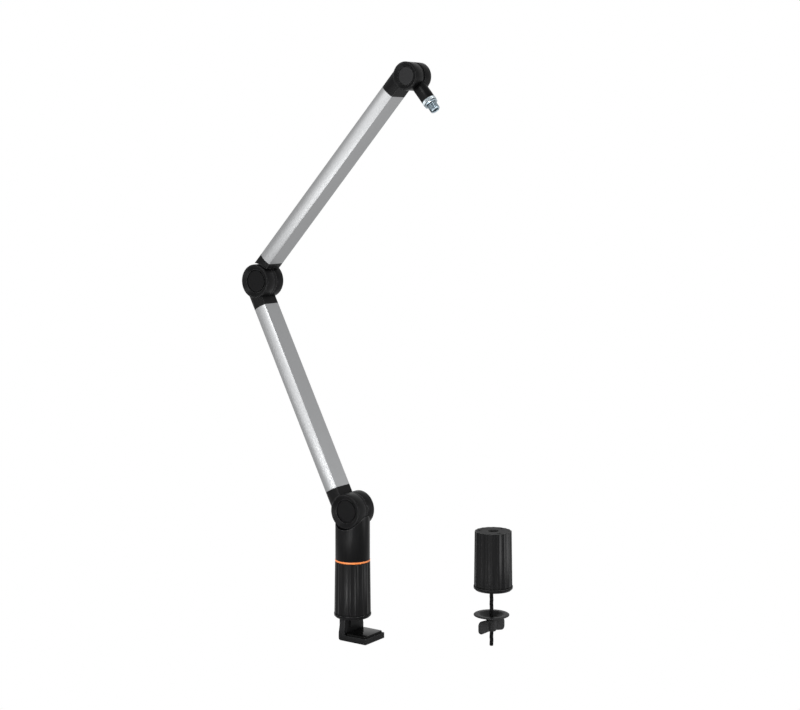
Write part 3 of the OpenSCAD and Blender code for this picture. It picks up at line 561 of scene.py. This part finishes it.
def push_in(piece, classes, class_of, depth_of, radius):
    """Resizes each class of a turned piece's points about Z, so that those at radius move in by its depth.

    Points of class -1 stay."""
    alone(piece)
    bpy.ops.object.mode_set(mode="EDIT")
    for i in range(classes):
        depth = depth_of(i)
        if depth == 0:
            continue
        pick(piece, lambda point: class_of(point) == i)
        share = (radius - depth) / radius
        bpy.ops.transform.resize(value=(share, share, 1), center_override=(0, 0, 0))
    bpy.ops.object.mode_set(mode="OBJECT")


def modify(piece, kind, **settings):
    """Adds a modifier and applies it."""
    alone(piece)
    modifier = piece.modifiers.new(kind.lower(), kind)
    for key, value in settings.items():
        setattr(modifier, key, value)
    bpy.ops.object.modifier_apply(modifier=modifier.name)


def set_down(piece, where):
    """Moves a modelled piece to its place for good, with the place in its mesh."""
    alone(piece)
    piece.matrix_world = where
    bpy.ops.object.transform_apply(location=True, rotation=True, scale=True)


def merge(piece):
    """Merges a new piece's doubles and turns its faces outward."""
    alone(piece)
    bpy.ops.object.mode_set(mode="EDIT")
    bpy.ops.mesh.select_all(action="SELECT")
    bpy.ops.mesh.remove_doubles(threshold=DOUBLES * MM)
    bpy.ops.mesh.normals_make_consistent(inside=False)
    bpy.ops.object.mode_set(mode="OBJECT")


def close_up(piece, where, sharp):
    """Merges a new piece, sets it down and shades it, with edges sharper than that many degrees kept."""
    merge(piece)
    set_down(piece, where)
    bpy.ops.object.shade_smooth_by_angle(angle=math.radians(sharp))


def copy_of(piece, name, move):
    """A copy with its own mesh, moved by a matrix."""
    twin = piece.copy()
    twin.data = piece.data.copy()
    twin.name = name
    bpy.context.scene.collection.objects.link(twin)
    set_down(twin, move)
    return twin


bodies = frame["record"]["behaviour"]["bodies"]
body_of_node = {node: body for body, inside in bodies.items() for node in inside}


def stands_for(piece, node):
    """Gives a piece the finish and the body of the node that it stands for."""
    piece.data.materials.clear()
    piece.data.materials.append(finish_for(node))
    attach(piece, body_of_node[node])
    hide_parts(node)


# Bases

def make_sleeve(name):
    """The fluted sleeve: a turned tube whose outer wall is drawn in along soft-edged flutes."""
    per_flute = 20
    soft = 0.1
    edge = 0.5
    lip = 0.1
    plate_gap = 0.3
    seat_z = BASE_H - PLATE_T - plate_gap
    inside_r = SLEEVE_LIP_R + 0.5
    sleeve = turned(name, [
        (SLEEVE_FOOT_R - edge, SLEEVE_Z), (SLEEVE_FOOT_R, SLEEVE_Z + edge), (SLEEVE_TOP_R, BASE_H - edge),
        (SLEEVE_TOP_R - 0.6 * edge, BASE_H - 0.2 * edge), (SLEEVE_TOP_R - 1.3 * edge, BASE_H),
        (SLEEVE_LIP_R + lip, BASE_H), (SLEEVE_LIP_R, BASE_H - lip), (SLEEVE_LIP_R, seat_z),
        (SLEEVE_BORE_R, seat_z), (SLEEVE_BORE_R, SLEEVE_Z)
    ], FLUTES * per_flute)

    def flute_column(point):
        """Which of a flute's columns a point of the outer wall lies on, or -1 on the inner wall."""
        if math.hypot(point.x, point.y) < inside_r * MM:
            return -1
        return column_of(point, FLUTES * per_flute) % per_flute

    def depth(i):
        """How deep a flute of radius FLUTE_R is at its column i, eased to nothing on the ridges."""
        first = FLUTE_TURN / 360 * FLUTES
        off = (i / per_flute - first + 0.5) % 1 - 0.5
        across = off * math.tau * SLEEVE_FOOT_R / FLUTES
        hollow = math.sqrt(FLUTE_R ** 2 - across ** 2) - FLUTE_R + FLUTE_DEPTH
        return (hollow + math.sqrt(hollow ** 2 + soft ** 2)) / 2

    push_in(sleeve, per_flute, flute_column, depth, SLEEVE_FOOT_R)
    return sleeve


sleeve = make_sleeve("fluted_sleeve")
second_sleeve = copy_of(sleeve, "second_fluted_sleeve", SECOND_BASE)
for piece, node in ((sleeve, "clamp_sleeve"), (second_sleeve, "second_sleeve")):
    close_up(piece, place(), sharp=40)
    stands_for(piece, node)


def make_swivel_ring():
    """The orange ring under the post, with rounded edges."""
    edge = 0.45
    ring = turned("orange_ring", [
        (RING_BORE_R, 0), (RING_R - edge, 0), (RING_R - 0.3 * edge, 0.3 * edge), (RING_R, edge),
        (RING_R, RING_T - edge), (RING_R - 0.3 * edge, RING_T - 0.3 * edge), (RING_R - edge, RING_T),
        (RING_BORE_R, RING_T)
    ], ROUND_COLUMNS)
    close_up(ring, place(z=RING_Z), sharp=50)
    stands_for(ring, "swivel_ring")


make_swivel_ring()


# Pivot caps

def make_cap(name, radius, step):
    """A disc with a low step round it, a rounded edge and a slight crown."""
    edge = 0.4
    low_edge = 0.1
    inner = radius - step
    return turned(name, [
        (radius, 0), (radius, CAP_STEP_Z - low_edge), (radius - low_edge, CAP_STEP_Z), (inner, CAP_STEP_Z),
        (inner, CAP_T - edge), (inner - 0.3 * edge, CAP_T - 0.3 * edge), (inner - edge, CAP_T),
        (inner - 2.0, CAP_T + 0.08), (radius * 0.5, CAP_T + 0.18), (radius * 0.1, CAP_T + 0.22)
    ], ROUND_COLUMNS, solid=True)


CAP_Y = BARREL_HALF - DISH_DEPTH - CAP_T + CAP_GAP
ON_Y = Matrix.Rotation(math.radians(-90), 4, "X")
PIVOTS = (("shoulder", SHOULDER, CAP_R, CAP_STEP), ("elbow", ELBOW, CAP_R, CAP_STEP),
          ("head", HEAD, HEAD_CAP_R, HEAD_CAP_STEP))
for pivot, where, radius, step in PIVOTS:
    for end, side in (("back", 0), ("front", 180)):
        cap = make_cap(f"{pivot}_{end}_disc", radius, step)
        turn = Matrix.Rotation(math.radians(side), 4, "X") @ place(y=CAP_Y) @ ON_Y
        close_up(cap, where @ turn, sharp=25)
        stands_for(cap, f"{pivot}_{end}_cap")


# Microphone head

def make_lock_ring():
    """The knurled ring: every second column of its rim is drawn in."""
    teeth = 96
    tooth_depth = 0.32
    rim_r = LOCK_RING_R - 0.2
    bore_edge, rim_edge = 0.3, 0.5
    ring = turned("knurled_ring", [
        (STUD_R, bore_edge), (STUD_R + bore_edge, 0), (LOCK_RING_R - rim_edge, 0), (LOCK_RING_R, rim_edge),
        (LOCK_RING_R, LOCK_RING_T - rim_edge), (LOCK_RING_R - rim_edge, LOCK_RING_T),
        (STUD_R + bore_edge, LOCK_RING_T), (STUD_R, LOCK_RING_T - bore_edge)
    ], 2 * teeth)

    def tooth(point):
        """0 or 1 by turns round the rim, or -1 on the bore and the flat sides."""
        if math.hypot(point.x, point.y) < rim_r * MM:
            return -1
        return column_of(point, 2 * teeth) % 2

    push_in(ring, 2, tooth, lambda i: tooth_depth * i, LOCK_RING_R)
    close_up(ring, SPIGOT @ place(z=SPIGOT_REACH + LOCK_RING_GAP), sharp=20)
    stands_for(ring, "lock_ring")


def thread(piece, columns, steps, pitch, start, radius, depth):
    """Cuts a thread into the rings of a turned piece that lie steps to a pitch above start."""
    per_step = columns // steps
    near_r, near_z = 0.05, 0.01

    def phase(point):
        """How far round its turn of the thread a point is, in columns, or -1 off the thread."""
        if abs(math.hypot(point.x, point.y) - radius * MM) > near_r * MM or point.z < (start - near_z) * MM:
            return -1
        ring = round((point.z / MM - start) / pitch * steps)
        return (column_of(point, columns) - ring * per_step) % columns

    def groove(i):
        """The groove's depth along its pitch: a flat bottom, straight sides and a flat crest."""
        away = abs(i / columns - 0.5) * 2
        return depth * min(1.0, max(0.0, 1.5 * away - 0.25))

    push_in(piece, columns, phase, groove, radius)


def make_adapter():
    """The slotted adapter: a flange and a 5/8 inch thread of 27 turns to the inch."""
    columns, steps = 48, 6
    groove_depth = 0.5
    bore_edge, rim_edge, end_edge = 0.3, 0.4, 0.7
    run_in, run_out = 0.3, 0.6
    first = ADAPTER_T + run_in
    rings = int((THREAD_L - run_in - run_out) / THREAD_PITCH * steps)
    end = ADAPTER_T + THREAD_L
    adapter = turned("threaded_adapter", [
        (STUD_R, bore_edge), (STUD_R + bore_edge, 0), (ADAPTER_R - rim_edge, 0), (ADAPTER_R, rim_edge),
        (ADAPTER_R, ADAPTER_T - rim_edge), (ADAPTER_R - rim_edge, ADAPTER_T),
        (THREAD_R - groove_depth, ADAPTER_T)
    ] + [(THREAD_R, first + i * THREAD_PITCH / steps) for i in range(rings + 1)] + [
        (THREAD_R - end_edge, end), (STUD_R + 0.5, end), (STUD_R, end - 0.5)
    ], columns)
    thread(adapter, columns, steps, THREAD_PITCH, first, THREAD_R, groove_depth)
    merge(adapter)
    cutter_l, cutter_h = 40, 20
    cutter = block((0, 0, end - SLOT_D + cutter_h / 2), (cutter_l, SLOT_W, cutter_h), SLOT_TURN)
    modify(adapter, "BOOLEAN", operation="DIFFERENCE", object=cutter, solver="EXACT")
    bpy.data.objects.remove(cutter)
    close_up(adapter, SPIGOT @ place(z=SPIGOT_REACH + LOCK_RING_GAP + LOCK_RING_T + ADAPTER_GAP), sharp=35)
    stands_for(adapter, "thread_adapter")


make_lock_ring()
make_adapter()


# Through-desk base

def make_rod():
    """The threaded rod, an M6 thread from end to end."""
    columns, steps = 24, 4
    groove_depth = 0.3
    chamfer = 0.8
    length = ROD_DROP + ROD_RISE
    turns = int((length - 2 * chamfer) / ROD_PITCH)
    rod = turned("threaded_rod", [
        (ROD_R - 0.7, 0), (ROD_R, chamfer), (ROD_R, chamfer + turns * ROD_PITCH), (ROD_R - 0.5, length)
    ], columns, solid=True)
    alone(rod)
    bpy.ops.object.mode_set(mode="EDIT")
    pick_edges(rod, lambda a, b: abs(a.z - b.z) > turns * ROD_PITCH * MM / 2)
    bpy.ops.mesh.subdivide(number_cuts=turns * steps - 1)
    bpy.ops.object.mode_set(mode="OBJECT")
    thread(rod, columns, steps, ROD_PITCH, chamfer, ROD_R, groove_depth)
    close_up(rod, ROD @ place(z=-ROD_DROP), sharp=50)
    stands_for(rod, "second_rod")


def make_washer():
    """The dished washer, pressed from sheet with a rounded rim."""
    edge = WASHER_T / 2
    slope = WASHER_T * 0.4
    hole = ROD_R + 0.3
    low = -WASHER_DEPTH
    washer = turned("pressed_washer", [
        (WASHER_R - 0.7 * edge, 0), (WASHER_RIM_R + 0.8, 0), (WASHER_RIM_R - 0.2, -0.3),
        (WASHER_RIM_R - 1.2, -1.3), (WASHER_BOTTOM_R + 1.2, low + WASHER_T + 0.9),
        (WASHER_BOTTOM_R + 0.3, low + WASHER_T + 0.2), (WASHER_BOTTOM_R - 0.8, low + WASHER_T),
        (hole + 0.2, low + WASHER_T), (hole, low + WASHER_T - 0.2), (hole, low + 0.2), (hole + 0.2, low),
        (WASHER_BOTTOM_R + slope - 0.8, low), (WASHER_BOTTOM_R + slope + 0.6, low + 0.4),
        (WASHER_RIM_R + slope - 0.6, -WASHER_T - 0.7), (WASHER_RIM_R + slope + 0.6, -WASHER_T),
        (WASHER_R - 0.7 * edge, -WASHER_T), (WASHER_R - 0.15 * edge, -1.6 * edge), (WASHER_R, -edge),
        (WASHER_R - 0.15 * edge, -0.4 * edge)
    ], ROUND_COLUMNS)
    close_up(washer, ROD @ place(z=-WASHER_GAP), sharp=60)
    stands_for(washer, "dished_washer")


def make_wing_nut():
    """The cast wing nut: a turned hub and two rounded wings, grown together and smoothed."""
    hub = turned("cast_wing_nut", [
        (WING_HUB_R - 0.3, -WING_HUB_H), (WING_HUB_R, -WING_HUB_H + 1), (WING_HUB_R + 0.6, -1),
        (WING_HUB_R + 0.2, 0)
    ], 48, solid=True)
    corner, edge = 6.5, 1.3
    level = 1e-7
    root, tip = WING_HUB_R / 2, WING_SPAN
    for side in (-1, 1):
        wing = block((side * (root + tip) / 2, 0, -WING_H / 2), (tip - root, WING_T, WING_H))
        bpy.ops.object.transform_apply(location=True, rotation=True, scale=True)
        bpy.ops.object.mode_set(mode="EDIT")
        pick(wing, lambda point: abs(point.x) < (root + 1) * MM and point.z < -WING_H / 2 * MM)
        bpy.ops.transform.translate(value=(0, 0, (WING_H - WING_HUB_H) * MM))
        pick_edges(wing, lambda a, b: abs(a.x) > (tip - 1) * MM and a.x == b.x and a.z == b.z)
        bpy.ops.mesh.bevel(offset=corner * MM, segments=8, affect="EDGES")
        pick_edges(wing, lambda a, b: abs(a.y - b.y) < level and abs(a.x) + abs(b.x) > 2 * (root + 1) * MM)
        bpy.ops.mesh.bevel(offset=edge * MM, segments=3, affect="EDGES")
        bpy.ops.object.mode_set(mode="OBJECT")
        hub.select_set(True)
        bpy.context.view_layer.objects.active = hub
        bpy.ops.object.join()
    modify(hub, "REMESH", mode="VOXEL", voxel_size=0.4 * MM)
    modify(hub, "SMOOTH", iterations=6, factor=0.5)
    bpy.ops.object.select_all(action="DESELECT")
    bpy.ops.mesh.primitive_cylinder_add(vertices=48, radius=(ROD_R + 0.05) * MM, depth=60 * MM)
    drill = bpy.context.object
    modify(hub, "BOOLEAN", operation="DIFFERENCE", object=drill, solver="EXACT")
    bpy.data.objects.remove(drill)
    turn = Matrix.Rotation(math.radians(WING_TURN), 4, "Z")
    close_up(hub, ROD @ place(z=-WASHER_GAP - WASHER_DEPTH - WING_HUB_GAP) @ turn, sharp=60)
    stands_for(hub, "wing_nut")


make_rod()
make_washer()
make_wing_nut()


# Clamp

def make_pad():
    """The jaw pad: a block with round corners and a soft top edge."""
    soft_edge = 1.1
    (x1, x2), (y1, y2) = PAD_BOX
    pad = block(((x1 + x2) / 2, (y1 + y2) / 2, FOOT_TOP + PAD_GAP + PAD_T / 2),
                (x2 - x1, y2 - y1, PAD_T - PAD_GAP))
    pad.name = "rubber_jaw_pad"
    bpy.ops.object.transform_apply(location=True, rotation=True, scale=True)
    bpy.ops.object.mode_set(mode="EDIT")
    pick_edges(pad, lambda a, b: abs(a.z - b.z) > MM)
    bpy.ops.mesh.bevel(offset=PAD_CORNER * MM, segments=8, affect="EDGES")
    pick_edges(pad, lambda a, b: min(a.z, b.z) > (FOOT_TOP + PAD_T / 2) * MM)
    bpy.ops.mesh.bevel(offset=soft_edge * MM, segments=4, affect="EDGES")
    bpy.ops.object.mode_set(mode="OBJECT")
    close_up(pad, place(), sharp=40)
    stands_for(pad, "jaw_pad")


make_pad()


# Rounded edges on the frame's own moulded, cast and sawn pieces

def round_edges(node, width):
    """Live rounding on a node: its triangles are joined to flat faces first, so that the rounds run clean."""
    same, level, sharp = 0.001, 0.4, 35
    piece = nodes[node]
    piece.modifiers.new("join", "WELD").merge_threshold = same * MM
    flat = piece.modifiers.new("flatten", "DECIMATE")
    flat.decimate_type = "DISSOLVE"
    flat.angle_limit = math.radians(level)
    rounds = piece.modifiers.new("rounds", "BEVEL")
    rounds.width = width * MM
    rounds.segments = 2
    rounds.limit_method = "ANGLE"
    rounds.angle_limit = math.radians(sharp)
    rounds.harden_normals = False


for node, width in ROUNDED.items():
    round_edges(node, width)


bpy.context.view_layer.update()
